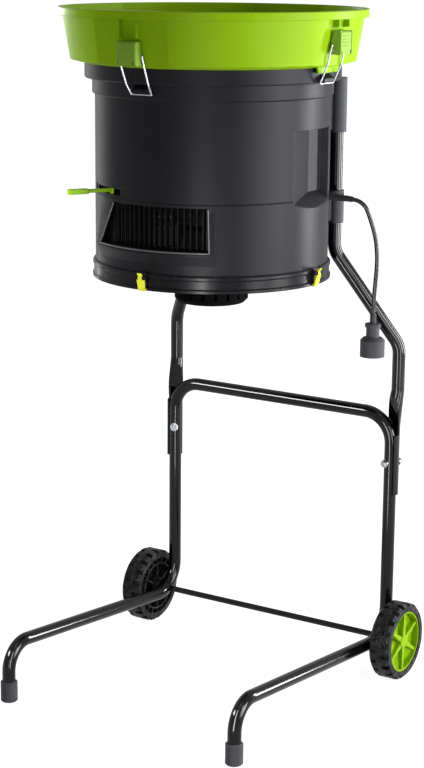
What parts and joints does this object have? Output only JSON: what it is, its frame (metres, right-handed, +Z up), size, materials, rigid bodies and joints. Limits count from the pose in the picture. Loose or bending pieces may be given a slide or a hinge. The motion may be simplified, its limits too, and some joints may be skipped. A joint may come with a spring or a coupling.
{
  "type": "leaf shredder",
  "caption": "Electric leaf shredder: funnel hopper latched on an upright drum with a whirling line cutter, carried on a bent-tube stand with wheels and feet.",
  "frame": {"origin": "on the floor at the middle of the footprint", "axes": "+X along the axle to the side with the recess and cord, -Y to the front, +Z up"},
  "size_m": [0.626, 0.61, 1.28],
  "materials": {
    "tube_black": "gloss black powder coat",
    "drum_black": "charcoal moulded plastic, soft sheen",
    "green": "bright lime green moulded plastic",
    "latch_green": "greyer green moulded plastic",
    "yellow": "lemon yellow moulded plastic",
    "steel": "bright zinc-plated steel",
    "rubber_grey": "dark grey rubber",
    "tread": "black moulded wheel",
    "copper": "wound iron stack",
    "nylon": "smoke grey nylon line",
    "brass_blade": "plain blades"
  },
  "bodies": {
    "machine": {"lower_frame": "tube_black", "stay_left": "tube_black", "stay_right": "tube_black", "foot_cap_left": "rubber_grey", "foot_cap_right": "rubber_grey", "axle": "steel", "axle_nuts": "steel", "frame_bolts": "steel", "drum": "drum_black", "base_ring": "drum_black", "grille": "drum_black", "socket_left": "drum_black", "socket_right": "drum_black", "sleeve_left": "drum_black", "sleeve_right": "drum_black", "sleeve_bolts": "steel", "motor_mount": "drum_black", "motor_housing": "drum_black", "motor_end_plate": "drum_black", "motor_stator": "copper", "motor_bearings": "steel", "motor_vent_cover": "drum_black", "hopper": "green", "latch_pins": "steel", "clip_frames": "drum_black", "clip_pins": "steel", "switch_box": "drum_black", "cord_boot": "rubber_grey", "cord": "rubber_grey", "plug_body": "rubber_grey", "plug_blades": "brass_blade"},
    "wheel_l": {"wheel_left": "tread", "hub_cover_left": "green"},
    "wheel_r": {"wheel_right": "tread", "hub_cover_right": "green"},
    "cutter": {"motor_rotor": "steel", "cutter_head": "steel", "cutter_lines": "nylon", "cutter_nut": "steel"},
    "vent": {"shutter": "drum_black", "shutter_lever": "green"},
    "latch_front_body": {"latch_front": "latch_green"},
    "bail_front_body": {"bail_front": "steel"},
    "latch_right_body": {"latch_right": "latch_green"},
    "bail_right_body": {"bail_right": "steel"},
    "latch_back_body": {"latch_back": "latch_green"},
    "bail_back_body": {"bail_back": "steel"},
    "latch_left_body": {"latch_left": "latch_green"},
    "bail_left_body": {"bail_left": "steel"},
    "clip_front_body": {"clip_front": "yellow"},
    "clip_right_body": {"clip_right": "yellow"},
    "clip_back_body": {"clip_back": "yellow"},
    "clip_left_body": {"clip_left": "yellow"},
    "rocker": {"switch_rocker": "drum_black"}
  },
  "joints": [
    {"name": "wheel_left_spin", "type": "hinge", "parent": "machine", "child": "wheel_l", "pos_m": [-0.292, 0.23, 0.075], "axis": [1, 0, 0], "continuous": true},
    {"name": "wheel_right_spin", "type": "hinge", "parent": "machine", "child": "wheel_r", "pos_m": [0.292, 0.23, 0.075], "axis": [1, 0, 0], "continuous": true},
    {"name": "cutter_spin", "type": "hinge", "parent": "machine", "child": "cutter", "pos_m": [0, 0.01076, 0.9], "axis": [0, 0, 1], "continuous": true},
    {"name": "shutter_swing", "type": "hinge", "parent": "machine", "child": "vent", "pos_m": [0, 0.01076, 0.9], "axis": [0, 0, 1], "range_deg": [-10, 8]},
    {"name": "latch_front_turn", "type": "hinge", "parent": "machine", "child": "latch_front_body", "pos_m": [0, -0.24421, 1.195], "axis": [1, 0, 0], "range_deg": [0, 95]},
    {"name": "bail_front_turn", "type": "hinge", "parent": "latch_front_body", "child": "bail_front_body", "pos_m": [0, -0.24521, 1.205], "axis": [1, 0, 0], "range_deg": [-95, 0]},
    {"name": "latch_right_turn", "type": "hinge", "parent": "machine", "child": "latch_right_body", "pos_m": [0.25781, 0.01076, 1.213], "axis": [0, 1, 0], "range_deg": [0, 95]},
    {"name": "bail_right_turn", "type": "hinge", "parent": "latch_right_body", "child": "bail_right_body", "pos_m": [0.25881, 0.01076, 1.223], "axis": [0, 1, 0], "range_deg": [-95, 0]},
    {"name": "latch_back_turn", "type": "hinge", "parent": "machine", "child": "latch_back_body", "pos_m": [0, 0.26573, 1.195], "axis": [-1, 0, 0], "range_deg": [0, 95]},
    {"name": "bail_back_turn", "type": "hinge", "parent": "latch_back_body", "child": "bail_back_body", "pos_m": [0, 0.26673, 1.205], "axis": [-1, 0, 0], "range_deg": [-95, 0]},
    {"name": "latch_left_turn", "type": "hinge", "parent": "machine", "child": "latch_left_body", "pos_m": [-0.25497, 0.01076, 1.195], "axis": [0, -1, 0], "range_deg": [0, 95]},
    {"name": "bail_left_turn", "type": "hinge", "parent": "latch_left_body", "child": "bail_left_body", "pos_m": [-0.25597, 0.01076, 1.205], "axis": [0, -1, 0], "range_deg": [-95, 0]},
    {"name": "clip_front_turn", "type": "hinge", "parent": "machine", "child": "clip_front_body", "pos_m": [0, -0.21574, 0.821], "axis": [-1, 0, 0], "range_deg": [0, 15], "stiffness_Nm_per_rad": 0.4, "springref_deg": -11.46},
    {"name": "clip_right_turn", "type": "hinge", "parent": "machine", "child": "clip_right_body", "pos_m": [0.2265, 0.01076, 0.821], "axis": [0, -1, 0], "range_deg": [0, 15], "stiffness_Nm_per_rad": 0.4, "springref_deg": -11.46},
    {"name": "clip_back_turn", "type": "hinge", "parent": "machine", "child": "clip_back_body", "pos_m": [0, 0.23726, 0.821], "axis": [1, 0, 0], "range_deg": [0, 15], "stiffness_Nm_per_rad": 0.4, "springref_deg": -11.46},
    {"name": "clip_left_turn", "type": "hinge", "parent": "machine", "child": "clip_left_body", "pos_m": [-0.2265, 0.01076, 0.821], "axis": [0, 1, 0], "range_deg": [0, 15], "stiffness_Nm_per_rad": 0.4, "springref_deg": -11.46},
    {"name": "rocker_tip", "type": "hinge", "parent": "machine", "child": "rocker", "pos_m": [0, 0.22676, 1.013], "axis": [-1, 0, 0], "range_deg": [0, 9]}
  ],
  "couplings": [
    {"joint": "bail_front_turn", "follows": "latch_front_turn", "ratio": -1},
    {"joint": "bail_right_turn", "follows": "latch_right_turn", "ratio": -1},
    {"joint": "bail_back_turn", "follows": "latch_back_turn", "ratio": -1},
    {"joint": "bail_left_turn", "follows": "latch_left_turn", "ratio": -1}
  ]
}
